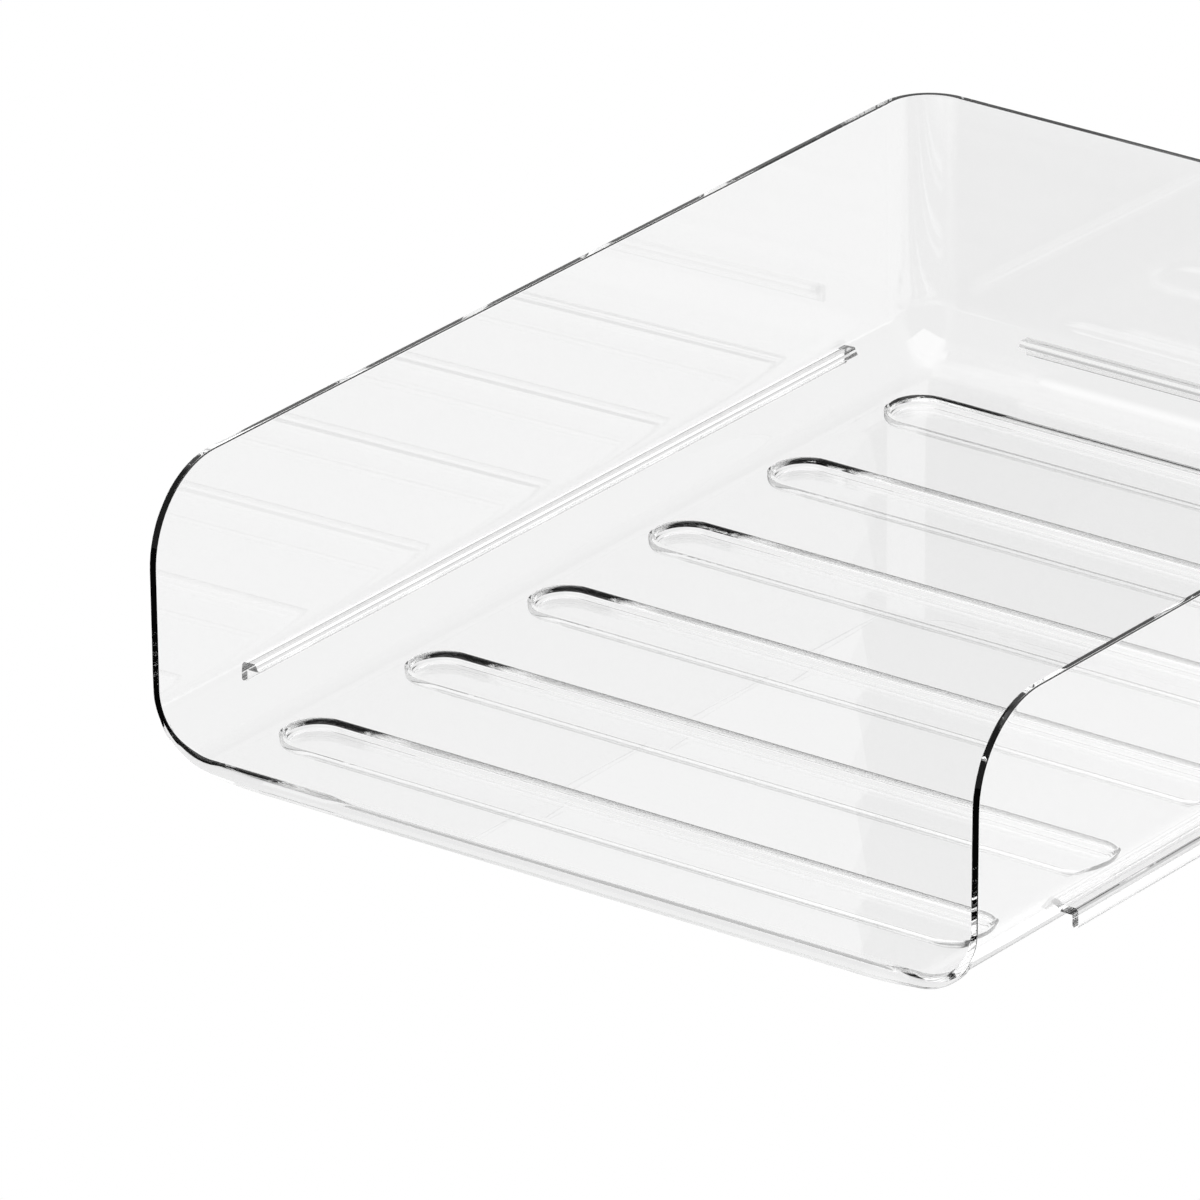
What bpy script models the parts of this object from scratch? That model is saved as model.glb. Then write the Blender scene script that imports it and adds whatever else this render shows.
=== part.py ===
"""Clear stackable letter tray: one injection moulding in crystal polystyrene.

Metres, +Z up. The origin is the middle of the tray's footprint at desk level, the open
front faces -Y. The moulding is a thin shell (floor, two side walls, back wall) with six
stiffening channels pressed into the floor, a down-turned lip under the front edge, and a
hooked stacking flange outside each wall that sits on the rim of the tray below.
"""

import math

import bmesh
import bpy
from mathutils import Matrix, Vector

MM = 0.001

# ---- driving dimensions -------------------------------------------------------------
RIM_WIDTH = 254.0 * MM  # outside of the side walls at the rim
RIM_DEPTH = 328.0 * MM  # front edge to the outside of the back wall at the rim
HEIGHT = 77.2 * MM  # desk to rim
WALL = 2.0 * MM  # walls and floor, one thickness all through
DRAFT = math.radians(0.65)  # every wall leans outwards so that the tray leaves its mould
FLOOR_TOP = 4.6 * MM  # the paper lies this far above the desk
FLOOR_FILLET = 16.0 * MM  # inside radius between the floor and a wall
CORNER_RADIUS = 15.0 * MM  # outside radius of the upright back corners
FRONT_CORNER = 25.0 * MM  # round on the top front corner of each side wall

CHANNELS = 6
CHANNEL_FIRST = 30.9 * MM  # front edge to the middle of the first channel
CHANNEL_PITCH = 51.9 * MM
CHANNEL_LENGTH = 212.8 * MM  # over the round ends
CHANNEL_WIDTH = 16.0 * MM
CHANNEL_DEPTH = 2.6 * MM
CHANNEL_SKIN = 1.9 * MM  # side of the channel, measured outwards
CHANNEL_ROUND = 1.0 * MM  # inside, between the side of a channel and its bottom
BELLY_ROUND = CHANNEL_ROUND + 1.4 * MM  # the same edge on the underside

LIP_THICKNESS = 2.0 * MM  # front lip, front to back
LIP_INSET = 0.02 * MM  # taken off its front and its back, so no face meets the shell's flush
LIP_OUTER_END = 14  # degrees above level at which the lip's outer arc ends
LIP_INNER_END = 3  # the same for its inner arc

FLANGE_TOP = 13.4 * MM  # height of the top face of the stacking flange
FLANGE_THICKNESS = 2.1 * MM  # its level leg, which lands on the rim below
FLANGE_LEG = 1.75 * MM  # its hanging leg
FLANGE_BOTTOM = 8.1 * MM
FLANGE_GAP = 0.4 * MM  # play between the hanging leg and the rim of the tray below
FLANGE_ROUND = 1.2 * MM
FLANGE_ROOT = 3.8 * MM  # how far the level leg runs inwards from the rim's outside
SIDE_FLANGE_FROM = 38.5 * MM  # measured from the front edge
SIDE_FLANGE_TO = 296.0 * MM
BACK_FLANGE_LENGTH = 182.0 * MM

# ---- spare length, trimmed off or cutting only air ------------------------------------
SHELL_SPARE = 3.0 * MM  # the shell starts this much too tall and too long at the front
PROFILE_BELOW = 5.0 * MM  # side profile past the desk
PROFILE_BEHIND = 10.0 * MM  # side profile past the back wall
PROFILE_SPARE = 40.0 * MM  # side profile wider than the rim, both sides together
GROOVE_SPARE = 3.0 * MM  # groove cutter above the floor

# ---- steps in the curves --------------------------------------------------------------
FILLET_SEGMENTS = 8
FRONT_CORNER_STEPS = 10
LIP_OUTER_STEPS = 12
LIP_INNER_STEPS = 10
FLANGE_STEPS = 4
CHANNEL_END_STEPS = 10
BELLY_SEGMENTS = 3
GROOVE_SEGMENTS = 2

# ---- worked out from those ------------------------------------------------------------
LEAN = math.tan(DRAFT)
OUTER_FILLET = FLOOR_FILLET + WALL
FLOOR_UNDER = FLOOR_TOP - WALL
FLANGE_REACH = FLANGE_GAP + FLANGE_LEG  # how far a flange stands out past the rim
DEPTH = RIM_DEPTH + FLANGE_REACH
FRONT = -DEPTH / 2.0
BACK = FRONT + RIM_DEPTH  # outside of the back wall at the rim

# Placing of a plate drawn in (x, z) and thickened along y, and of one drawn in (y, z)
# and thickened along x.
ALONG_Y = Matrix(((1, 0, 0, 0), (0, 0, -1, 0), (0, 1, 0, 0), (0, 0, 0, 1)))
ALONG_X = Matrix(((0, 0, 1, 0), (1, 0, 0, 0), (0, 1, 0, 0), (0, 0, 0, 1)))


def half_width(z):
    """Outside of a side wall at height z."""
    return RIM_WIDTH / 2.0 - (HEIGHT - z) * LEAN


def back_face(z):
    """Outside of the back wall at height z."""
    return BACK - (HEIGHT - z) * LEAN


# ---- helpers --------------------------------------------------------------------------
def make_collection(name):
    collection = bpy.data.collections.new(name)
    bpy.context.scene.collection.children.link(collection)
    return collection


def make_object(name, data, collection):
    obj = bpy.data.objects.new(name, data)
    collection.objects.link(obj)
    return obj


def arc(centre_x, centre_y, radius, start, end, steps):
    """Points along an arc, both ends included, angles in degrees."""
    points = []
    for i in range(steps + 1):
        angle = math.radians(start + (end - start) * i / steps)
        x = centre_x + radius * math.cos(angle)
        y = centre_y + radius * math.sin(angle)
        points.append((x, y))
    return points


def mirrored(points):
    """The points on the other side of the tray's middle, in reverse order."""
    return [(-x, z) for x, z in reversed(points)]


def obround(length, width, steps):
    radius = width / 2.0
    centre = length / 2.0 - radius
    right_end = arc(centre, 0.0, radius, -90, 90, steps)
    left_end = arc(-centre, 0.0, radius, 90, 270, steps)
    return right_end + left_end


def outline_mesh(name, outline, thickness):
    """A flat outline as a filled 2D curve, given a thickness and made a mesh."""
    curve = bpy.data.curves.new(name + "_outline", "CURVE")
    curve.dimensions = "2D"
    curve.fill_mode = "BOTH"
    curve.extrude = thickness / 2.0
    spline = curve.splines.new("POLY")
    spline.points.add(len(outline) - 1)
    for point, (x, y) in zip(spline.points, outline):
        point.co = (x, y, 0.0, 1.0)
    spline.use_cyclic_u = True

    source = make_object(name + "_curve", curve, tools)
    bpy.context.view_layer.update()
    graph = bpy.context.evaluated_depsgraph_get()
    mesh = bpy.data.meshes.new_from_object(source.evaluated_get(graph), depsgraph=graph)
    bpy.data.objects.remove(source, do_unlink=True)
    mesh.name = name
    return mesh


def plate(name, outline, thickness, matrix):
    """Helper object: an outline thickened both ways from its plane, then placed."""
    mesh = outline_mesh(name, outline, thickness)
    shape = bmesh.new()
    shape.from_mesh(mesh)
    # The caps and the sides of the curve come as separate sheets; join them.
    bmesh.ops.remove_doubles(shape, verts=shape.verts, dist=1e-6)
    bmesh.ops.transform(shape, matrix=matrix, verts=shape.verts)
    bmesh.ops.recalc_face_normals(shape, faces=shape.faces)
    shape.to_mesh(mesh)
    shape.free()

    helper = make_object(name, mesh, tools)
    helper.hide_render = True
    helper.display_type = "WIRE"
    return helper


def boolean(target, other, operation):
    step = target.modifiers.new(operation.lower() + "_" + other.name, "BOOLEAN")
    step.operation = operation
    step.solver = "EXACT"
    step.object = other


# ---- shell ----------------------------------------------------------------------------
def shell_mesh():
    """Outside of the floor, side walls and back wall, open at the top and the front."""
    shape = bmesh.new()
    bmesh.ops.create_cube(shape, size=1.0)
    for vert in shape.verts:
        z = HEIGHT + SHELL_SPARE if vert.co.z > 0 else FLOOR_UNDER
        x = math.copysign(half_width(z), vert.co.x)
        y = back_face(z) if vert.co.y > 0 else FRONT - SHELL_SPARE
        vert.co = Vector((x, y, z))
    open_faces = [face for face in shape.faces if face.normal.z > 0.9 or face.normal.y < -0.9]
    bmesh.ops.delete(shape, geom=open_faces, context="FACES_ONLY")

    # Full bevel around the floor, a smaller one on the upright back corners.
    weight = shape.edges.layers.float.new("bevel_weight_edge")
    for edge in shape.edges:
        if len(edge.link_faces) != 2:
            continue
        at_floor = max(vert.co.z for vert in edge.verts) < FLOOR_UNDER + MM
        edge[weight] = 1.0 if at_floor else CORNER_RADIUS / OUTER_FILLET

    mesh = bpy.data.meshes.new("tray_body")
    shape.to_mesh(mesh)
    shape.free()
    return mesh


def make_shell():
    shell = make_object("tray_body", shell_mesh(), parts)

    rounds = shell.modifiers.new("rounded_edges", "BEVEL")
    rounds.limit_method = "WEIGHT"
    rounds.offset_type = "OFFSET"
    rounds.width = OUTER_FILLET
    rounds.segments = FILLET_SEGMENTS
    rounds.profile = 0.5
    rounds.use_clamp_overlap = False

    skin = shell.modifiers.new("wall_thickness", "SOLIDIFY")
    skin.thickness = WALL
    skin.offset = -1.0
    skin.use_even_offset = True
    return shell


def trim_shell():
    """Keep what is below the rim, behind the front edge and inside the front corners."""
    behind = BACK + PROFILE_BEHIND
    profile = [(FRONT, -PROFILE_BELOW), (behind, -PROFILE_BELOW), (behind, HEIGHT)]
    profile += arc(
        FRONT + FRONT_CORNER, HEIGHT - FRONT_CORNER, FRONT_CORNER, 90, 180, FRONT_CORNER_STEPS
    )
    cutter = plate("side_profile", profile, RIM_WIDTH + PROFILE_SPARE, ALONG_X)
    boolean(tray, cutter, "INTERSECT")


# ---- front lip ------------------------------------------------------------------------
def add_front_lip():
    """The outline of the shell dropped to the desk."""
    centre_x = half_width(FLOOR_UNDER + OUTER_FILLET) - OUTER_FILLET
    mid_wall = OUTER_FILLET - WALL / 2.0  # the inner edge ends half way through the shell
    outer = arc(centre_x, OUTER_FILLET, OUTER_FILLET, LIP_OUTER_END, -90, LIP_OUTER_STEPS)
    inner = arc(
        centre_x, FLOOR_UNDER + OUTER_FILLET, mid_wall, -90, LIP_INNER_END, LIP_INNER_STEPS
    )
    # Down the right side, across the bottom, up the left, and back along the inside.
    outline = outer + mirrored(outer) + mirrored(inner) + inner
    place = Matrix.Translation((0, FRONT + LIP_THICKNESS / 2.0 + LIP_INSET, 0)) @ ALONG_Y
    lip = plate("front_lip", outline, LIP_THICKNESS - 2 * LIP_INSET, place)
    boolean(tray, lip, "UNION")


# ---- stacking flanges -----------------------------------------------------------------
def hook(rim):
    """Section of a flange, an L hooked downwards with its root buried in the shell.

    Points are (distance out from the tray's middle, height); rim is the rim's outside.
    """
    outside = rim + FLANGE_REACH
    leg = rim + FLANGE_GAP
    inside = rim - FLANGE_ROOT
    under = FLANGE_TOP - FLANGE_THICKNESS
    return [
        (inside, under),
        (leg, under),
        (leg, FLANGE_BOTTOM),
        (outside, FLANGE_BOTTOM),
        *arc(outside - FLANGE_ROUND, FLANGE_TOP - FLANGE_ROUND, FLANGE_ROUND, 0, 90, FLANGE_STEPS),
        (inside, FLANGE_TOP),
    ]


def add_flanges():
    length = SIDE_FLANGE_TO - SIDE_FLANGE_FROM
    middle = FRONT + (SIDE_FLANGE_TO + SIDE_FLANGE_FROM) / 2.0
    place = Matrix.Translation((0, middle, 0)) @ ALONG_Y
    for name, side in (("flange_right", 1), ("flange_left", -1)):
        section = [(side * x, z) for x, z in hook(RIM_WIDTH / 2.0)]
        boolean(tray, plate(name, section, length, place), "UNION")
    back_flange = plate("flange_back", hook(BACK), BACK_FLANGE_LENGTH, ALONG_X)
    boolean(tray, back_flange, "UNION")


# ---- channels -------------------------------------------------------------------------
def trough(name, y, length, width, low, high, edge_round, segments):
    """An obround block from low to high with its bottom edge rounded."""
    place = Matrix.Translation((0, y, (high + low) / 2.0))
    body = plate(name, obround(length, width, CHANNEL_END_STEPS), high - low, place)
    shape = bmesh.new()
    shape.from_mesh(body.data)
    bottom_rim = [
        edge
        for edge in shape.edges
        if all(vert.co.z < low + 1e-6 for vert in edge.verts)
        and any(abs(face.normal.z) < 0.5 for face in edge.link_faces)
    ]
    bmesh.ops.bevel(
        shape,
        geom=bottom_rim,
        offset=edge_round,
        offset_type="OFFSET",
        segments=segments,
        profile=0.5,
        affect="EDGES",
    )
    bmesh.ops.recalc_face_normals(shape, faces=shape.faces)
    shape.to_mesh(body.data)
    shape.free()
    return body


def add_channels():
    """A belly under the floor for each channel, then all the grooves from above."""
    middles = [FRONT + CHANNEL_FIRST + i * CHANNEL_PITCH for i in range(CHANNELS)]
    for number, y in enumerate(middles, start=1):
        belly = trough(
            f"channel_belly_{number}",
            y,
            length=CHANNEL_LENGTH + 2 * CHANNEL_SKIN,
            width=CHANNEL_WIDTH + 2 * CHANNEL_SKIN,
            low=0.0,  # stands on the desk
            high=FLOOR_TOP - WALL / 2.0,
            edge_round=BELLY_ROUND,
            segments=BELLY_SEGMENTS,
        )
        boolean(tray, belly, "UNION")
    for number, y in enumerate(middles, start=1):
        groove = trough(
            f"channel_groove_{number}",
            y,
            length=CHANNEL_LENGTH,
            width=CHANNEL_WIDTH,
            low=FLOOR_TOP - CHANNEL_DEPTH,
            high=FLOOR_TOP + GROOVE_SPARE,
            edge_round=CHANNEL_ROUND,
            segments=GROOVE_SEGMENTS,
        )
        boolean(tray, groove, "DIFFERENCE")


# ---- material -------------------------------------------------------------------------
def clear_polystyrene():
    """Clear, colourless polystyrene."""
    material = bpy.data.materials.new("clear_polystyrene")
    material.use_nodes = True
    settings = {
        "Base Color": (0.94, 0.95, 0.95, 1.0),
        "Roughness": 0.04,
        "Metallic": 0.0,
        "IOR": 1.59,
        "Transmission Weight": 1.0,
    }
    shader = material.node_tree.nodes["Principled BSDF"]
    for name, value in settings.items():
        shader.inputs[name].default_value = value
    return material


# ---- build ----------------------------------------------------------------------------
for old in list(bpy.data.objects):
    bpy.data.objects.remove(old, do_unlink=True)

parts = make_collection("letter_tray")
tools = make_collection("letter_tray_cutters")

tray = make_shell()
trim_shell()
add_front_lip()
add_flanges()
add_channels()

tray.data.materials.append(clear_polystyrene())
tray.data.shade_smooth()
tray.data.set_sharp_from_angle(angle=math.radians(30))
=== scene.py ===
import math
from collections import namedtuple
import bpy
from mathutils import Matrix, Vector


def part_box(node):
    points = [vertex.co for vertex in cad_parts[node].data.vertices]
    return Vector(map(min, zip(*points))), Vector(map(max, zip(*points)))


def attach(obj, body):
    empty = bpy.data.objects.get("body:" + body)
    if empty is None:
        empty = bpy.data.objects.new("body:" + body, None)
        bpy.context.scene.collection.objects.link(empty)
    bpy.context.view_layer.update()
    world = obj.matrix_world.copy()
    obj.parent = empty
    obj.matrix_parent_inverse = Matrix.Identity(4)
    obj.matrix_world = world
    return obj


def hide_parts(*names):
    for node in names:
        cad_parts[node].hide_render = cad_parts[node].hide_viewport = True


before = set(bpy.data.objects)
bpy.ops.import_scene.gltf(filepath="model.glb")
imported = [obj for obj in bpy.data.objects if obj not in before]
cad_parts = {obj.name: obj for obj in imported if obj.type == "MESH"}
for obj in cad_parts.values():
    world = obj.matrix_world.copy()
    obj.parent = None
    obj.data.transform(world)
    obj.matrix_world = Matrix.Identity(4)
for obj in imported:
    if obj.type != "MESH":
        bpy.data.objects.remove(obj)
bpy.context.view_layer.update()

# A clear stackable letter tray, open at the front: a thin shell with rounded fillets between
# floor and walls, channels pressed into the floor, and stacking flanges hung along both sides
# and the back. Front is -Y, back +Y, left -X, right +X; the table is just below z = 0.
# The tray is built in millimetres and scaled to metres at the end.

from types import SimpleNamespace

import bmesh
import bpy
from mathutils import Matrix, Vector

MM = 0.001

# ---- tray dimensions in millimetres, hung on the CAD node's box ------------------------
body_low, body_high = (Vector(corner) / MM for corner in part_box("tray_body"))
REACH = 2.15  # the stacking flanges stand this far out past the rim
HALF = body_high.x - REACH  # half the width over the rim
FRONT = body_low.y
BACK = body_high.y - REACH  # outside of the back wall at the rim
TOP = body_high.z
THICK = 2.0
DRAFT = math.radians(0.65)
LEAN = math.tan(DRAFT)
FLOOR = 4.6  # upper side of the floor
UNDER = FLOOR - THICK
R_OUT = 18.0  # fillet between floor and walls, outside and inside
R_IN = R_OUT - THICK
AXIS_Z = UNDER + R_OUT  # height of the fillets' axes
AXIS_X = HALF - (TOP - AXIS_Z) * LEAN - R_OUT / math.cos(DRAFT)
AXIS_Y = BACK - (TOP - AXIS_Z) * LEAN - R_OUT / math.cos(DRAFT)
CORNER_OUT = 15.0  # upright back corners
FRONT_CORNER = 25.0  # round on the top front corners
EDGE = 0.22  # small round on the front edges
RIM_EDGE = 0.45  # and on the rim

# the lip that hangs below the shell along the front
LIP_DEPTH = 3.0  # front to back where it is full, and where it starts
LIP_DEPTH_START = 1.5
LIP_DEPTH_FROM = 1.0  # drop at which it starts to deepen
LIP_DROP = 2.6
LIP_START = math.radians(31)  # angle down the fillet
LIP_QUICK_SHARE, LIP_QUICK_RUN = 0.25, 3.0  # part of the drop gained early, and over what run
LIP_SLOW_SHARE, LIP_SLOW_RUN = 0.75, 34.0
LIP_EDGE_MIDDLE = 0.12  # round on its lower edges
LIP_EDGE = 0.5
LIP_EDGE_SHARE = 0.42  # most of the lip's depth that one round takes
LIP_EDGE_DROP = 0.8  # drop at which the rounds are full
LIP_EDGE_LEAST = 0.02

FLOOR_EDGE = 2.0  # the larger round on the floor's upper front edge, near its ends
FLOOR_EDGE_MIDDLE = 0.1
FLOOR_EDGE_LEFT = (62.0, 73.0)  # distances from the middle over which it grows
FLOOR_EDGE_RIGHT = (98.0, 107.0)
FLOOR_EDGE_SWEEP = math.radians(40)  # and the angle down the fillet

CHANNELS = 6
CHANNEL_FIRST = 30.9
CHANNEL_PITCH = 51.9
CHANNEL_LENGTH = 212.8
CHANNEL_WIDTH = 16.0
CHANNEL_DEPTH = 2.6
CHANNEL_SKIN = 1.7  # plastic beside a channel
CHANNEL_EDGE = 1.2  # upper and lower rounds inside
CHANNEL_ROUND = 1.3
BELLY_EDGE = 0.05  # and on the belly below the floor
BELLY_ROUND = 1.2
CHANNEL_SLOPE = math.radians(88.0)  # slope of both walls

FLANGE_TOP = 13.4
FLANGE_UNDER = 11.3
FLANGE_BOTTOM = 8.1
FLANGE_GAP = 0.4  # from the rim's outline out to the leg
FLANGE_SHOULDER = 1.2  # rounds: outer top, foot, and inside the bend
FLANGE_FOOT = 0.45
FLANGE_BEND = 0.4
FLANGE_FROM = FRONT + 38.5
FLANGE_TO = FRONT + 296.0
FLANGE_BACK = 91.0  # half length of the back flange

# ---- mesh resolution --------------------------------------------------------------------
WALL_ROWS = 19  # rows on the walls, a step of the front corner's round apart
WALL_STEP = 5.0  # degrees
SLOPE_STEPS = 26  # down the fillet
CORNER_STEPS = 22
ROUND_STEPS = 6
OBROUND_STEPS = 24
PROFILE_STEPS = 9
# places of the sections under the floor's front edge, out from the middle
FLAT_REACH, FLAT_STEPS = 30.0, 15  # inwards from the fillet's axis
FLAT_INNER, FLAT_PITCH, FLAT_COUNT = 76.0, 2.0, 9
WELD = 1e-5

# Columns of a shell row: five down a side, the back corner's inner points and two on the
# back make half of it.
COLS = 2 * (5 + (CORNER_STEPS - 1) + 2)
SIDE_FLANGE_COLS = {2, COLS - 4}  # the strips from FLANGE_FROM to FLANGE_TO
BACK_FLANGE_COL = COLS // 2 - 1

QUARTER = [math.pi / 2 * i / ROUND_STEPS for i in range(ROUND_STEPS + 1)]
FORWARD = Vector((0, -1, 0))
UP = Vector((0, 0, 1))


def smooth(x, start, end):
    t = min(1.0, max(0.0, (x - start) / (end - start)))
    return t * t * (3.0 - 2.0 * t)


# ---- rows of the shell ------------------------------------------------------------------
# Rows run from the rim down the walls, then down the fillet to the floor.
def fillet_angles():
    """Angles below the level of the axis; the flange's two roots are among them."""
    roots = [math.asin((AXIS_Z - z) / R_OUT) for z in (FLANGE_TOP, FLANGE_UNDER)]
    plain = [
        -DRAFT + (math.pi / 2 + DRAFT) * i / SLOPE_STEPS for i in range(SLOPE_STEPS + 1)
    ]
    gap = (math.pi / 2) / SLOPE_STEPS * 0.45
    keep = [angle for angle in plain if all(abs(angle - root) > gap for root in roots)]
    return sorted(keep + roots), roots


ANGLES, ROOTS = fillet_angles()
ROOT_ROWS = [WALL_ROWS + ANGLES.index(root) for root in ROOTS]
ROWS = WALL_ROWS + len(ANGLES)


def wall_angle(row):
    """Angle round the top front corner at which a wall row meets the front."""
    return math.radians(90.0 - WALL_STEP * row)


def end_share(x):
    """0 in the middle of the front, 1 near its ends; it runs out further on the left."""
    return smooth(-x, *FLOOR_EDGE_LEFT) if x < 0.0 else smooth(x, *FLOOR_EDGE_RIGHT)


def floor_edge(x):
    """Round on the floor's upper front edge at x."""
    return FLOOR_EDGE_MIDDLE + (FLOOR_EDGE - FLOOR_EDGE_MIDDLE) * end_share(x)


def lip_edge(x):
    """Round on the lip's lower edges at x."""
    return LIP_EDGE_MIDDLE + (LIP_EDGE - LIP_EDGE_MIDDLE) * end_share(x)


def outer_round(row):
    """Round on the outside of the front edge."""
    if row < WALL_ROWS:
        return RIM_EDGE + (EDGE - RIM_EDGE) * smooth(math.cos(wall_angle(row)), 0.0, 1.0)
    return EDGE


def inner_round(row):
    """Round on the inside of the front edge."""
    if row < WALL_ROWS:
        return outer_round(row)
    grown = smooth(ANGLES[row - WALL_ROWS], LIP_START, LIP_START + FLOOR_EDGE_SWEEP)
    return EDGE + (FLOOR_EDGE - EDGE) * grown


def lip_growth(run):
    """How far the lip stands out below the shell, at a run along from where it starts."""
    return LIP_DROP * (
        LIP_QUICK_SHARE * smooth(run, 0.0, LIP_QUICK_RUN)
        + LIP_SLOW_SHARE * smooth(run, 0.0, LIP_SLOW_RUN)
    )


def lip_of_row(row):
    if row < WALL_ROWS or ANGLES[row - WALL_ROWS] <= LIP_START:
        return 0.0
    return lip_growth(R_OUT * (ANGLES[row - WALL_ROWS] - LIP_START))


def lip_depth(lip):
    deepened = smooth(lip, LIP_DEPTH_FROM, LIP_DROP)
    return LIP_DEPTH_START + (LIP_DEPTH - LIP_DEPTH_START) * deepened


def plan_row(out, z, corner, y_front, depth):
    """Points round the plan, left front to right front, at an offset out from the axes."""
    x_wall, y_wall = AXIS_X + out, AXIS_Y + out
    x_bend, y_bend = x_wall - corner, y_wall - corner
    left = [
        Vector((-x_wall, y, z))
        for y in (y_front, y_front + depth, FLANGE_FROM, FLANGE_TO, y_bend)
    ]
    for i in range(1, CORNER_STEPS):
        turn = math.pi / 2 * i / CORNER_STEPS
        x = -x_bend - corner * math.cos(turn)
        left.append(Vector((x, y_bend + corner * math.sin(turn), z)))
    left += [Vector((x, y_wall, z)) for x in (-x_bend, -FLANGE_BACK)]
    return left + [Vector((-p.x, p.y, p.z)) for p in reversed(left)]


def shell_rows(radius, corner, round_of_row):
    """One side of the moulding, outside or inside; front rounds pull the rows back."""
    rows = []
    for row in range(WALL_ROWS):
        sweep = FRONT_CORNER - round_of_row(row)
        z = TOP - FRONT_CORNER + sweep * math.sin(wall_angle(row))
        y = FRONT + FRONT_CORNER - sweep * math.cos(wall_angle(row))
        out = radius / math.cos(DRAFT) + (z - AXIS_Z) * LEAN
        rows.append(plan_row(out, z, corner, y, LIP_DEPTH))
    for row, angle in enumerate(ANGLES, WALL_ROWS):
        out, z = radius * math.cos(angle), AXIS_Z - radius * math.sin(angle)
        inset = (radius - out) / radius
        y = FRONT + round_of_row(row)
        rows.append(plan_row(out, z, corner * (1.0 - inset), y, lip_depth(lip_of_row(row))))
    return rows


# ---- mesh helpers -----------------------------------------------------------------------
def distinct(verts, gap):
    """The verts of a loop without those that lie on the one before."""
    out = []
    for vert in verts:
        if not out or (vert.co - out[-1].co).length > gap:
            out.append(vert)
    if len(out) > 1 and (out[0].co - out[-1].co).length <= gap:
        out.pop()
    return out


def add_face(bm, verts):
    """Adds a face unless its corners fall together."""
    corners = distinct(verts, WELD)
    if len(corners) >= 3 and len(set(corners)) == len(corners):
        bm.faces.new(corners)


def ring(bm, points):
    return [bm.verts.new(p) for p in points]


def strip(bm, a, b, closed=False, skip=()):
    n = len(a)
    for i in range(n if closed else n - 1):
        if i not in skip:
            j = (i + 1) % n
            add_face(bm, (a[i], a[j], b[j], b[i]))


def cross_strip(bm, a, b):
    """A strip that winds the other way, each face starting across from a to b."""
    for i in range(len(a) - 1):
        add_face(bm, (a[i], b[i], b[i + 1], a[i + 1]))


def edge_rounds(outside, inside, inward, out, outer_size, inner_size):
    """Points over an edge of the sheet: the outside's round, then the inside's."""
    line = []
    for t in QUARTER:
        back = outer_size - outer_size * math.cos(t)
        line.append(outside + inward * back + out * (outer_size * math.sin(t)))
    for t in QUARTER:
        back = inner_size - inner_size * math.sin(t)
        line.append(inside - inward * back + out * (inner_size * math.cos(t)))
    return line


# ---- walls and fillets ------------------------------------------------------------------
def build_walls(bm, outer, inner):
    """Faces of both sides, left open where the flanges and the lip join on."""
    for row in range(ROWS - 1):
        skip = set()
        if ROOT_ROWS[0] <= row < ROOT_ROWS[1]:
            skip = SIDE_FLANGE_COLS | {BACK_FLANGE_COL}
        if lip_of_row(row + 1) > 0.0:
            skip = skip | {0, COLS - 2}
        strip(bm, outer[row], outer[row + 1], skip=skip)
        strip(bm, inner[row + 1], inner[row])


# ---- stacking flanges -------------------------------------------------------------------
def flange_section():
    """(offset out from the fillet's axis, height) from the upper root round to the lower."""
    leg_in = HALF - AXIS_X + FLANGE_GAP
    leg_out = HALF - AXIS_X + REACH
    shoulder, foot, bend = FLANGE_SHOULDER, FLANGE_FOOT, FLANGE_BEND
    # centre's offset and height, radius, first and last angle in degrees, steps
    arcs = (
        (leg_out - shoulder, FLANGE_TOP - shoulder, shoulder, 90, 0, 8),
        (leg_out - foot, FLANGE_BOTTOM + foot, foot, 0, -90, 5),
        (leg_in + foot, FLANGE_BOTTOM + foot, foot, -90, -180, 5),
        (leg_in - bend, FLANGE_UNDER - bend, bend, 0, 90, 4),
    )
    points = []
    for out, z, radius, first, last, steps in arcs:
        for i in range(steps + 1):
            angle = math.radians(first + (last - first) * i / steps)
            points.append((out + radius * math.cos(angle), z + radius * math.sin(angle)))
    return points


def build_flange(bm, outer, place, columns, ends):
    """Hangs the section on the two root rows between two columns of the outer shell."""
    section = flange_section()
    roots = [[outer[row][col] for row in range(ROOT_ROWS[0], ROOT_ROWS[1] + 1)] for col in columns]
    lines = []
    for root, end in zip(roots, ends):
        verts = ring(bm, [place(out, z, end) for out, z in section])
        lines.append([root[0]] + verts + [root[-1]])
    strip(bm, *lines)
    for line, root in zip(lines, roots):
        bm.faces.new(line + list(reversed(root[1:-1])))


def build_flanges(bm, outer):
    for sign, columns in ((-1, (2, 3)), (1, (COLS - 3, COLS - 4))):
        build_flange(
            bm,
            outer,
            lambda out, z, y: Vector((sign * (AXIS_X + out), y, z)),
            columns,
            (FLANGE_FROM, FLANGE_TO),
        )
    build_flange(
        bm,
        outer,
        lambda out, z, x: Vector((x, AXIS_Y + out, z)),
        (BACK_FLANGE_COL, BACK_FLANGE_COL + 1),
        (-FLANGE_BACK, FLANGE_BACK),
    )


# ---- front edge -------------------------------------------------------------------------
# Stations run down the left wall, under the floor and up the right wall. A station is on a
# shell row, or at an x under the floor; the other of the two is None.
Station = namedtuple("Station", "sign row x lip")


def front_stations():
    left = [Station(-1, row, None, lip_of_row(row)) for row in range(ROWS)]
    flat = [AXIS_X - FLAT_REACH * i / FLAT_STEPS for i in range(1, FLAT_STEPS + 1)]
    flat += [FLAT_INNER - FLAT_PITCH * i for i in range(FLAT_COUNT)]
    for x in flat:
        run = R_OUT * (math.pi / 2 - LIP_START) + AXIS_X - x
        left.append(Station(-1, None, -x, lip_growth(run)))
    right = [s._replace(sign=1, x=None if s.x is None else -s.x) for s in reversed(left)]
    return left + right


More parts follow.
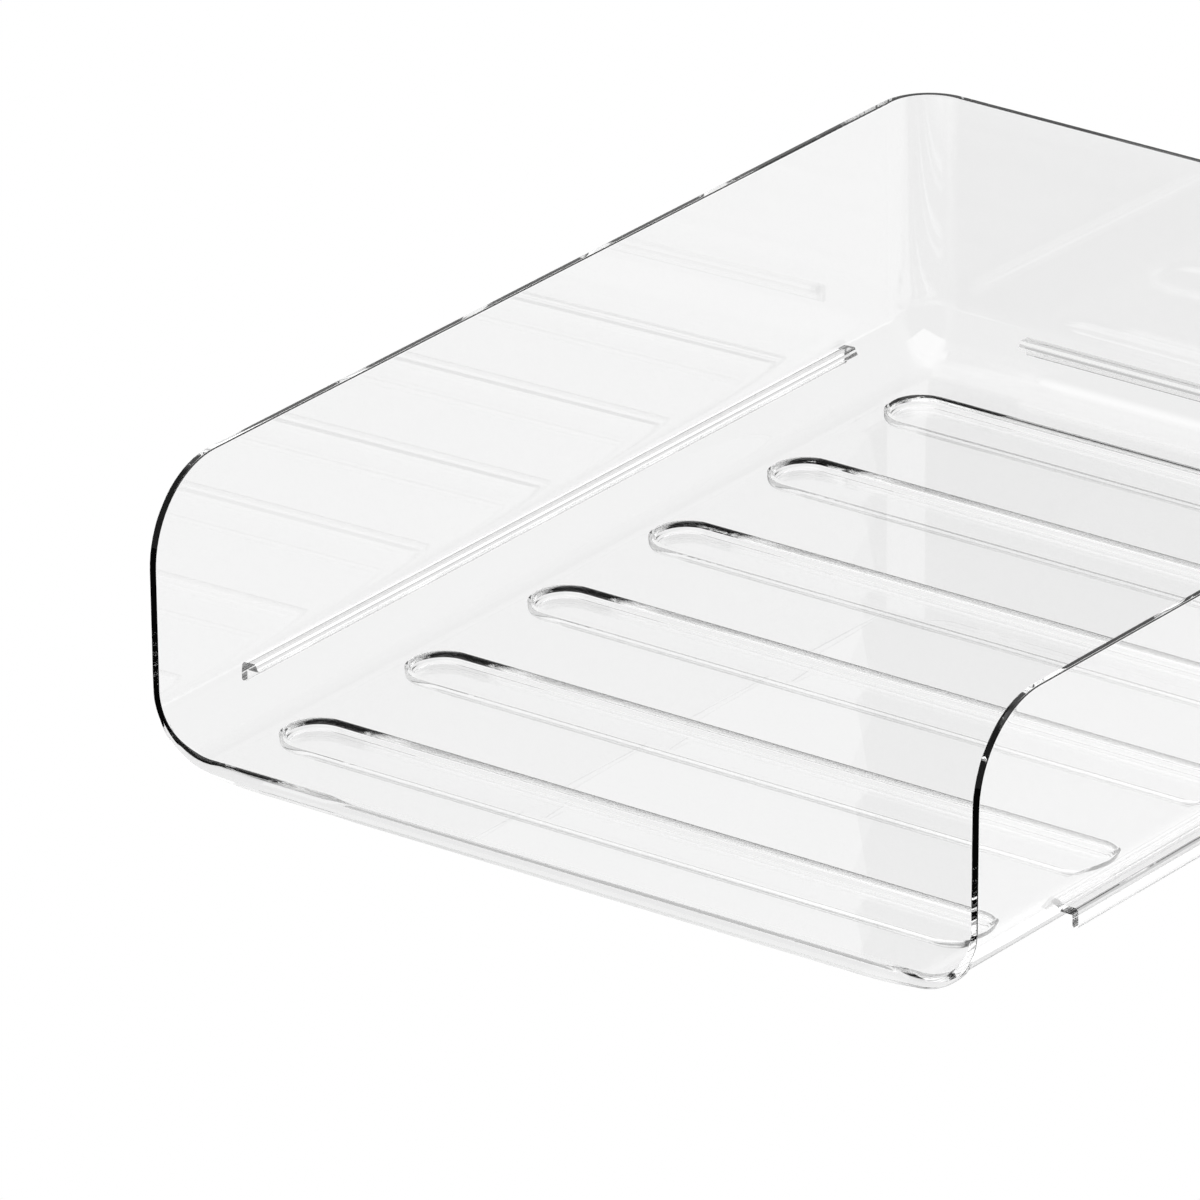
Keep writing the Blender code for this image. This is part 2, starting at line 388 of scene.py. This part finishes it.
def shell_ends(shell, station):
    """The front vert of a station's row and the one behind it."""
    verts = shell[station.row]
    return (verts[0], verts[1]) if station.sign < 0 else (verts[-1], verts[-2])


def floor_front(x):
    return Vector((x, FRONT + floor_edge(x), FLOOR))


def under_front(x, lip):
    """The underside's front line, behind the lip."""
    return Vector((x, FRONT + EDGE + lip_depth(lip), UNDER))


def front_section(bm, station, outer, inner):
    """Verts across the front, outside to inside, and of the lip's back face, if it has one."""
    sign, row, x, lip = station
    if row is None:
        outside = Vector((x, FRONT + EDGE, UNDER))
        inside = floor_front(x)
        inner_vert = bm.verts.new(inside)
        behind = bm.verts.new(under_front(x, lip))
        inward, out = UP, FORWARD
        shell_size, inner_size, lip_size = EDGE, floor_edge(x), lip_edge(x)
    else:
        outer_vert, behind = shell_ends(outer, station)
        inner_vert = shell_ends(inner, station)[0]
        outside, inside = outer_vert.co.copy(), inner_vert.co.copy()
        if row < WALL_ROWS:
            inward = Vector((-sign, 0, 0))
            out = Vector((0, -math.cos(wall_angle(row)), math.sin(wall_angle(row))))
        else:
            angle = ANGLES[row - WALL_ROWS]
            inward = Vector((-sign * math.cos(angle), 0, math.sin(angle)))
            out = FORWARD
        shell_size, inner_size, lip_size = outer_round(row), inner_round(row), LIP_EDGE
    size = shell_size
    if lip > 0.0:
        outside = outside - inward * lip
        size = min(lip_size, LIP_EDGE_SHARE * lip_depth(lip))
        size = size * smooth(lip, 0.0, LIP_EDGE_DROP) + LIP_EDGE_LEAST
    start = outside + out * (shell_size - size)
    line = edge_rounds(start, inside, inward, out, size, inner_size)
    verts = ring(bm, line[:-1]) + [inner_vert]
    if lip <= 0.0:
        verts[0] = outer_vert  # the vert it replaces is welded away
        return verts, None
    y_back = FRONT + EDGE + lip_depth(lip)
    back = [verts[0]]
    for t in QUARTER:
        p = outside + inward * (size - size * math.cos(t))
        back.append(bm.verts.new(Vector((p.x, y_back - size + size * math.sin(t), p.z))))
    return verts, back + [behind]


def build_front(bm, stations, outer, inner):
    """The front edge with its lip; returns its first and last lines, which join the rim."""
    sections = [front_section(bm, station, outer, inner) for station in stations]
    for i in range(len(sections) - 1):
        (front_a, back_a), (front_b, back_b) = sections[i], sections[i + 1]
        strip(bm, front_a, front_b)
        if back_a and back_b:
            cross_strip(bm, back_a, back_b)
        elif back_a or back_b:
            # where the lip starts: close between the plain shell and its first section
            back = back_b or back_a
            plain = stations[i] if back_b else stations[i + 1]
            end, behind = shell_ends(outer, plain)
            add_face(bm, [end] + back[:-1] + [behind])
            add_face(bm, (behind, back[-2], back[-1]))
    return sections[0][0], sections[-1][0]


# ---- rim --------------------------------------------------------------------------------
def build_rim(bm, top_outer, top_inner, first, last):
    """Small rounds along the rim and the flat between them."""
    lines = [first]
    for outer_vert, inner_vert in list(zip(top_outer, top_inner))[1:-1]:
        inward = inner_vert.co - outer_vert.co
        inward.z = 0.0
        inward.normalize()
        line = edge_rounds(outer_vert.co, inner_vert.co, inward, UP, RIM_EDGE, RIM_EDGE)
        lines.append([outer_vert] + ring(bm, line[1:-1]) + [inner_vert])
    lines.append(last)
    for a, b in zip(lines, lines[1:]):
        cross_strip(bm, a, b)


# ---- channels ---------------------------------------------------------------------------
def obround(y, length, width, inset, z):
    radius = width / 2.0 - inset
    centre = length / 2.0 - width / 2.0
    points = []
    for x, start in ((centre, -math.pi / 2), (-centre, math.pi / 2)):
        for i in range(OBROUND_STEPS + 1):
            a = start + math.pi * i / OBROUND_STEPS
            points.append(Vector((x + radius * math.cos(a), y + radius * math.sin(a), z)))
    return points


def wall_profile(top, bottom, r_top, r_bottom):
    """(inset, height) of a wall from one level down to another: round, slope, round."""
    turns = [CHANNEL_SLOPE * i / PROFILE_STEPS for i in range(PROFILE_STEPS + 1)]
    upper = [(r_top * math.sin(t), top - r_top * (1.0 - math.cos(t))) for t in turns]
    lower = [
        (-r_bottom * math.sin(t), bottom + r_bottom * (1.0 - math.cos(t)))
        for t in reversed(turns)
    ]
    run = (upper[-1][1] - lower[0][1]) / math.tan(CHANNEL_SLOPE)
    shift = upper[-1][0] + run - lower[0][0]
    middle = upper[-1][0] + 0.5 * run
    rows = upper + [(inset + shift, z) for inset, z in lower]
    return [(inset - middle, z) for inset, z in rows]


def cap(bm, verts):
    """Closes a flat obround with strips across it, point to opposite point."""
    half = len(verts) // 2
    right, left = verts[:half], verts[half:]
    for end in (right, left):
        for i in range(half // 2):
            a, b = end[i], end[i + 1]
            c, d = end[half - 2 - i], end[half - 1 - i]
            add_face(bm, (a, b, d) if b is c else (a, b, c, d))
    add_face(bm, (right[0], right[-1], left[0], left[-1]))


def build_basin(bm, y, skin, profile):
    """A channel's inside, or its belly when it has a skin; returns the opening."""
    length, width = CHANNEL_LENGTH + 2 * skin, CHANNEL_WIDTH + 2 * skin
    rings = [ring(bm, obround(y, length, width, inset, z)) for inset, z in profile]
    for upper, lower in zip(rings, rings[1:]):
        if skin:
            strip(bm, lower, upper, closed=True)
        else:
            strip(bm, upper, lower, closed=True)
    cap(bm, rings[-1])
    return rings[0]


def build_channels(bm):
    """Returns the openings in the floor's upper side and in its underside."""
    groove = wall_profile(FLOOR, FLOOR - CHANNEL_DEPTH, CHANNEL_EDGE, CHANNEL_ROUND)
    belly = wall_profile(UNDER, 0.0, BELLY_EDGE, BELLY_ROUND)
    grooves, bellies = [], []
    for i in range(CHANNELS):
        y = FRONT + CHANNEL_FIRST + i * CHANNEL_PITCH
        grooves.append(build_basin(bm, y, 0, groove))
        bellies.append(build_basin(bm, y, CHANNEL_SKIN, belly))
    return grooves, bellies


# ---- floor ------------------------------------------------------------------------------
def vert_finder(bm):
    """A function that gives the vert at a point, or failing that the nearest."""

    def key(p):
        return (round(p.x, 3), round(p.y, 3), round(p.z, 3))

    grid = {}
    for vert in bm.verts:
        grid.setdefault(key(vert.co), vert)

    def find(p):
        return grid.get(key(p)) or min(bm.verts, key=lambda v: (v.co - p).length_squared)

    return find


def fill_plane(bm, outline, holes):
    edges = []
    for verts in [distinct(outline, 1e-6)] + holes:
        for a, b in zip(verts, verts[1:] + verts[:1]):
            edges.append(bm.edges.get((a, b)) or bm.edges.new((a, b)))
    bmesh.ops.triangle_fill(bm, use_beauty=True, use_dissolve=False, edges=edges)


def build_floor(bm, stations, outer_line, inner_line):
    """Channels, and the floor's two flat sides round their openings."""
    grooves, bellies = build_channels(bm)
    find = vert_finder(bm)
    flat = [s for s in reversed(stations) if s.x is not None]
    upper = inner_line + [floor_front(s.x) for s in flat]
    fill_plane(bm, [find(p) for p in upper], grooves)
    lower = outer_line[1:-1] + [under_front(s.x, s.lip) for s in flat]
    fill_plane(bm, [find(p) for p in lower], bellies)


# ---- the whole tray ---------------------------------------------------------------------
def build_tray():
    bm = bmesh.new()
    outer_rows = shell_rows(R_OUT, CORNER_OUT, outer_round)
    inner_rows = shell_rows(R_IN, CORNER_OUT - THICK, inner_round)
    outer = [ring(bm, row) for row in outer_rows]
    inner = [ring(bm, row) for row in inner_rows]
    build_walls(bm, outer, inner)
    build_flanges(bm, outer)
    stations = front_stations()
    first, last = build_front(bm, stations, outer, inner)
    build_rim(bm, outer[0], inner[0], first, last)
    bmesh.ops.remove_doubles(bm, verts=bm.verts, dist=WELD)
    build_floor(bm, stations, outer_rows[-1], inner_rows[-1])

    bmesh.ops.remove_doubles(bm, verts=bm.verts, dist=WELD)
    bmesh.ops.dissolve_degenerate(bm, dist=WELD, edges=bm.edges)
    bmesh.ops.recalc_face_normals(bm, faces=bm.faces)
    bmesh.ops.scale(bm, vec=(MM, MM, MM), verts=bm.verts)
    return bm


def link_mesh(bm, name):
    """Turns a bmesh into an object of the scene."""
    mesh = bpy.data.meshes.new(name)
    bm.to_mesh(mesh)
    bm.free()
    item = bpy.data.objects.new(name, mesh)
    bpy.context.scene.collection.objects.link(item)
    return item


tray = link_mesh(build_tray(), "tray")
tray.data.shade_smooth()
tray.data.set_sharp_from_angle(angle=math.radians(38))
weighted = tray.modifiers.new("weighted_normals", "WEIGHTED_NORMAL")
weighted.mode = "FACE_AREA"
weighted.weight = 100
weighted.keep_sharp = True


# ---- shader helpers ---------------------------------------------------------------------
class Nodes:
    """Short ways to add nodes to one shader tree; values are numbers or sockets."""

    def __init__(self, tree):
        self.tree = tree
        self.link = tree.links.new

    def add(self, kind):
        return self.tree.nodes.new("ShaderNode" + kind)

    def split(self, vector):
        node = self.add("SeparateXYZ")
        self.link(vector, node.inputs[0])
        return node.outputs

    def math(self, operation, *values):
        node = self.add("Math")
        node.operation = operation
        for socket, value in zip(node.inputs, values):
            if isinstance(value, (int, float)):
                socket.default_value = value
            else:
                self.link(value, socket)
        return node.outputs[0]

    def times(self, product, *factors):
        for factor in factors:
            product = self.math("MULTIPLY", product, factor)
        return product

    def above(self, value, limit):
        return self.math("GREATER_THAN", value, limit)

    def below(self, value, limit):
        return self.math("LESS_THAN", value, limit)

    def ramp(self, value, span, levels=(0.0, 1.0)):
        """Goes smoothly from one level to the other over a span of the value."""
        node = self.add("MapRange")
        node.interpolation_type = "SMOOTHSTEP"
        for name, number in zip(("From Min", "From Max", "To Min", "To Max"), span + levels):
            node.inputs[name].default_value = number
        self.link(value, node.inputs["Value"])
        return node.outputs[0]

    def blend(self, start, end, share):
        return self.math("MULTIPLY_ADD", self.math("SUBTRACT", end, start), share, start)

    def choose(self, condition, yes, no):
        """One of two numbers."""
        return self.math("MULTIPLY_ADD", condition, yes - no, no)


def emission_material(name):
    """A material of nothing but emission, and its emission node."""
    material = bpy.data.materials.new(name)
    material.use_nodes = True
    nodes = material.node_tree.nodes
    for node in list(nodes):
        if node.type != "OUTPUT_MATERIAL":
            nodes.remove(node)
    output = nodes[0]
    glow = nodes.new("ShaderNodeEmission")
    material.node_tree.links.new(glow.outputs[0], output.inputs[0])
    return material, glow


def square(name, size):
    bm = bmesh.new()
    bmesh.ops.create_grid(bm, x_segments=1, y_segments=1, size=size)
    return link_mesh(bm, name)


# ---- clear plastic ----------------------------------------------------------------------
FLOW_SCALE = 18.0
FLOW_DETAIL = 2.0
FLOW_SPAN = (0.3, 0.7)
CLEARNESS = (0.923, 0.927)  # grey level of the tint
PLASTIC_IOR = 1.59


def clear_plastic():
    """Smooth glass-like plastic, a hair clearer in some places than in others."""
    plastic = bpy.data.materials.new("clear_polystyrene")
    plastic.use_nodes = True
    n = Nodes(plastic.node_tree)
    shader = plastic.node_tree.nodes["Principled BSDF"]
    place = n.add("TexCoord")
    flow = n.add("TexNoise")
    flow.inputs["Scale"].default_value = FLOW_SCALE
    flow.inputs["Detail"].default_value = FLOW_DETAIL
    n.link(place.outputs["Object"], flow.inputs["Vector"])
    clearness = n.ramp(flow.outputs[0], FLOW_SPAN, CLEARNESS)
    tint = n.add("CombineColor")
    for channel in tint.inputs[:3]:
        n.link(clearness, channel)
    n.link(tint.outputs[0], shader.inputs["Base Color"])
    shader.inputs["Transmission Weight"].default_value = 1.0
    shader.inputs["Roughness"].default_value = 0.0
    shader.inputs["IOR"].default_value = PLASTIC_IOR
    return plastic


tray.data.materials.append(clear_plastic())

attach(tray, "root")
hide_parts("tray_body")

# ---- table ------------------------------------------------------------------------------
# Places and ray lengths are in metres, headings in radians.
TABLE_SIZE = 6.0  # half its width
TABLE_Z = -0.0002
# limits between whole numbers of bounces
NONE_YET, ONCE, TWICE = 0.5, 0.5, 1.5

# levels of light
TABLE_LIGHT = 1.0
TABLE_FRONT = 0.03  # towards the dark front of the room
TABLE_SIDE = 1.56  # beside the tray, where it is brightest
TABLE_FLANGE = 1.84  # under the left flange
FLANGE_RIGHT = 1.8  # and the right
TABLE_SHADE = 0.45
TABLE_INSIDE = 1.2  # for rays freed from inside the plastic
INSIDE_RIGHT = 1.45  # the same under the right side

# the table under the middle of the tray
MIDDLE_HALF = 0.115
MIDDLE_BACK = (BACK - 16.0) * MM
INSIDE_SPAN = (0.0, 0.09)  # x over which the inside level grows to the right

# brighter beside the tray, for headings right of the back
RIGHTWARD = (0.0, 0.3)
BESIDE_RIGHT = (0.128, 0.134)
BESIDE_LEFT = (-0.104, -0.110)

# darker for headings away from the back, later at the far right
AWAY_EARLY = (0.70, 0.78)
AWAY_LATE = (1.5, 1.6)
EARLY_RIGHT = 0.112

# zones that stay light even so
LIP_ZONE_FRONT = (FRONT - 1.0) * MM
LIP_ZONE_FADE = ((FRONT + 90.0) * MM, (FRONT + 190.0) * MM)
BACK_ZONE = (BACK - 20.0) * MM
JUST_LEFT = 0.004  # longest ray that has only just left the plastic
GLOW_FIRST = (FRONT + CHANNEL_FIRST - CHANNEL_WIDTH / 2.0 - 3.2) * MM  # before a channel
GLOW_SHARE = 2.7 / CHANNEL_PITCH
GLOW_HALF = 0.5 * CHANNEL_LENGTH * MM + 0.003

FLANGE_ZONE = 0.119  # distance from the middle
FLANGE_RAY = 0.022  # longest ray from a flange to the table
GRAZED_RIGHT = 0.09
GRAZED_RAY = 0.0185


def table_ray(n):
    """What is known of a ray that meets the table, and where it does."""
    path = n.add("LightPath").outputs
    geometry = n.add("NewGeometry").outputs
    incoming = n.split(geometry["Incoming"])
    going_x = n.times(incoming["X"], -1.0)
    going_y = n.times(incoming["Y"], -1.0)
    spot = n.split(geometry["Position"])
    return SimpleNamespace(
        once=n.above(path["Glossy Depth"], ONCE),
        twice=n.above(path["Glossy Depth"], TWICE),
        passes=path["Transmission Depth"],
        length=path["Ray Length"],
        going_x=going_x,
        going_y=going_y,
        heading=n.math("ARCTAN2", going_x, going_y),  # 0 towards the back, right positive
        x=spot["X"],
        y=spot["Y"],
        sideways=n.math("ABSOLUTE", spot["X"]),
    )


def channel_glow(n, ray):
    """1 right before the near side of a channel, for rays that have just left the plastic."""
    pitch = CHANNEL_PITCH * MM
    count = n.math("MULTIPLY_ADD", ray.y, 1.0 / pitch, -GLOW_FIRST / pitch)
    near = n.below(n.math("FRACT", count), GLOW_SHARE)
    along = n.below(n.math("ABSOLUTE", ray.x), GLOW_HALF)
    return n.times(near, along, n.below(ray.length, JUST_LEFT))


def reflected_level(n, ray):
    """The room's uneven light: bright behind, brightest beside, dark to front and sides."""
    beside = n.math("MAXIMUM", n.ramp(ray.x, BESIDE_RIGHT), n.ramp(ray.x, BESIDE_LEFT))
    lift = n.times(n.ramp(ray.heading, RIGHTWARD), beside, TABLE_SIDE - TABLE_LIGHT)
    behind_level = n.math("ADD", lift, TABLE_LIGHT)

    away = n.math("ABSOLUTE", ray.heading)
    early = n.times(n.ramp(away, AWAY_EARLY), n.below(ray.x, EARLY_RIGHT))
    shaded = n.math("MAXIMUM", early, n.ramp(away, AWAY_LATE))

    at_lip = n.times(n.above(ray.y, LIP_ZONE_FRONT), n.ramp(ray.y, LIP_ZONE_FADE, (1.0, 0.0)))
    light_zone = n.math("MAXIMUM", at_lip, n.above(ray.y, BACK_ZONE))
    front_level = n.choose(light_zone, TABLE_LIGHT, TABLE_FRONT)
    glow = n.times(channel_glow(n, ray), TABLE_INSIDE)
    front_level = n.math("MAXIMUM", front_level, glow)
    return n.blend(behind_level, front_level, shaded)


def flange_light(n, ray):
    """Under the side flanges the table gives back the light that they gather."""
    backwards = n.above(ray.going_y, 0.0)
    gathered = n.times(
        n.above(ray.sideways, FLANGE_ZONE),
        n.below(ray.length, FLANGE_RAY),
        n.times(ray.once, backwards),
    )
    return n.times(gathered, n.choose(n.below(ray.x, 0.0), TABLE_FLANGE, FLANGE_RIGHT))


def table_strength(n):
    """Plain light, except for rays that a face of the tray has reflected."""
    ray = table_ray(n)
    in_middle = n.times(n.below(ray.sideways, MIDDLE_HALF), n.below(ray.y, MIDDLE_BACK))
    # reflected more than once within the plastic
    trapped = n.times(ray.twice, n.above(ray.passes, TWICE))
    turned = n.math("SUBTRACT", ray.once, n.times(trapped, in_middle))
    strength = n.blend(TABLE_LIGHT, reflected_level(n, ray), turned)

    extra = n.ramp(ray.x, INSIDE_SPAN, (TABLE_INSIDE - TABLE_LIGHT, INSIDE_RIGHT - TABLE_LIGHT))
    extra = n.times(extra, n.times(trapped, in_middle))
    strength = n.math("ADD", strength, extra)
    strength = n.math("MAXIMUM", strength, flange_light(n, ray))

    # seen grazing off the outer round of the right wall the table is in its own shade
    grazed = n.times(
        n.below(ray.passes, NONE_YET),
        ray.once,
        n.below(ray.going_x, 0.0),
        n.above(ray.x, GRAZED_RIGHT),
        n.below(ray.length, GRAZED_RAY),
    )
    unlit = n.math("MULTIPLY_ADD", strength, -1.0, TABLE_SHADE)
    return n.math("MULTIPLY_ADD", unlit, grazed, strength)


table = square("table", TABLE_SIZE)
table.location = (0, 0, TABLE_Z)
pale, table_glow = emission_material("pale_table")
n = Nodes(pale.node_tree)
n.link(table_strength(n), table_glow.inputs["Strength"])
table.data.materials.append(pale)

# ---- room -------------------------------------------------------------------------------
# levels of light
SKY = 1.0
SKY_FRONT = 0.25
LONG_LAMP = 1.2
BACK_LEFT = 0.86  # the wall behind the tray, left of an upright edge
BACK_RIGHT = 0.60  # right of the edge
BACK_MIDDLE = 0.72  # and further right

# spans of the view direction's azimuth (radians, right of the back) and components
BACKDROP_EDGE = -0.6251
BACKDROP_SPAN = (-0.5, 0.1)
WALL_TOP = (0.72, 0.80)
WALL_BEHIND = (0.15, 0.35)
CEILING_FRONT = (0.10, 0.30)
LAMP_Y_IN, LAMP_Y_OUT = (-0.30, -0.05), (-0.02, 0.22)
LAMP_X_IN, LAMP_X_OUT = (-0.5345, -0.5305), (-0.30, -0.20)
FORWARDS = 0.10  # y below which twice reflected rays see plain white


def room_strength(n):
    """Plain white, except for rays that a face of the tray has reflected."""
    place = n.add("TexCoord")
    x, y, z = n.split(place.outputs["Generated"])
    azimuth = n.math("ARCTAN2", x, y)
    wall = n.ramp(azimuth, BACKDROP_SPAN, (BACK_RIGHT, BACK_MIDDLE))
    wall = n.blend(BACK_LEFT, wall, n.above(azimuth, BACKDROP_EDGE))
    share = n.times(n.ramp(z, WALL_TOP, (1.0, 0.0)), n.ramp(y, WALL_BEHIND))

    # towards the front the ceiling is dim, with a long lamp overhead on the left
    dim = n.ramp(y, CEILING_FRONT, (SKY_FRONT, SKY))
    lamp_y = n.times(n.ramp(y, LAMP_Y_IN), n.ramp(y, LAMP_Y_OUT, (1.0, 0.0)))
    lamp_x = n.times(n.ramp(x, LAMP_X_IN), n.ramp(x, LAMP_X_OUT, (1.0, 0.0)))
    ceiling = n.math("ADD", dim, n.times(lamp_y, lamp_x, LONG_LAMP))
    room = n.blend(ceiling, wall, share)

    path = n.add("LightPath").outputs
    once = n.above(path["Glossy Depth"], ONCE)
    twice = n.above(path["Glossy Depth"], TWICE)
    two_passes = n.math("COMPARE", path["Transmission Depth"], 2.0, 0.5)
    freed = n.times(twice, two_passes, n.below(y, FORWARDS))
    return n.blend(SKY, room, n.math("SUBTRACT", once, freed))


world = bpy.data.worlds.new("studio")
bpy.context.scene.world = world
world.use_nodes = True
sky = world.node_tree.nodes["Background"]
sky.inputs["Color"].default_value = (1, 1, 1, 1)
n = Nodes(world.node_tree)
n.link(room_strength(n), sky.inputs["Strength"])

# ---- overhead softbox -------------------------------------------------------------------
SOFTBOX_AT = (0.18, 0.07, 1.1)
SOFTBOX_SIZE = (1.35, 1.35, 1.0)
SOFTBOX_LIGHT = 1.4

softbox = square("softbox", 0.5)
softbox.location = SOFTBOX_AT
softbox.scale = SOFTBOX_SIZE
softbox.visible_camera = False
softbox.visible_shadow = False
lit, softbox_glow = emission_material("softbox")
softbox_glow.inputs["Strength"].default_value = SOFTBOX_LIGHT
softbox.data.materials.append(lit)

# ---- camera -----------------------------------------------------------------------------
AZIMUTH = math.radians(36.80)  # round from the front towards the right
ELEVATION = math.radians(23.32)
ROLL = math.radians(-0.42)
CAMERA_AT = Vector((2.239398, -2.975609 + FRONT * MM, 1.681468))
FOCAL_LENGTH = 498.09  # millimetres, as the sensor's width
SENSOR_WIDTH = 36.0
BOUNCES = 26


def camera_pose():
    level = math.cos(ELEVATION)
    back = Vector(
        (math.sin(AZIMUTH) * level, -math.cos(AZIMUTH) * level, math.sin(ELEVATION))
    )
    side = Vector((math.cos(AZIMUTH), math.sin(AZIMUTH), 0))
    up = side.cross(-back)
    x_axis = math.cos(ROLL) * side + math.sin(ROLL) * up
    y_axis = -math.sin(ROLL) * side + math.cos(ROLL) * up
    pose = Matrix((x_axis, y_axis, back)).transposed().to_4x4()
    pose.translation = CAMERA_AT
    return pose


lens = bpy.data.cameras.new("camera")
lens.lens = FOCAL_LENGTH
lens.sensor_width = SENSOR_WIDTH
lens.clip_start = 0.1
lens.clip_end = 50.0
camera = bpy.data.objects.new("camera", lens)
camera.matrix_world = camera_pose()
scene = bpy.context.scene
scene.collection.objects.link(camera)
scene.camera = camera

scene.view_settings.view_transform = "Standard"
scene.cycles.max_bounces = BOUNCES
scene.cycles.transmission_bounces = BOUNCES
scene.cycles.glossy_bounces = BOUNCES
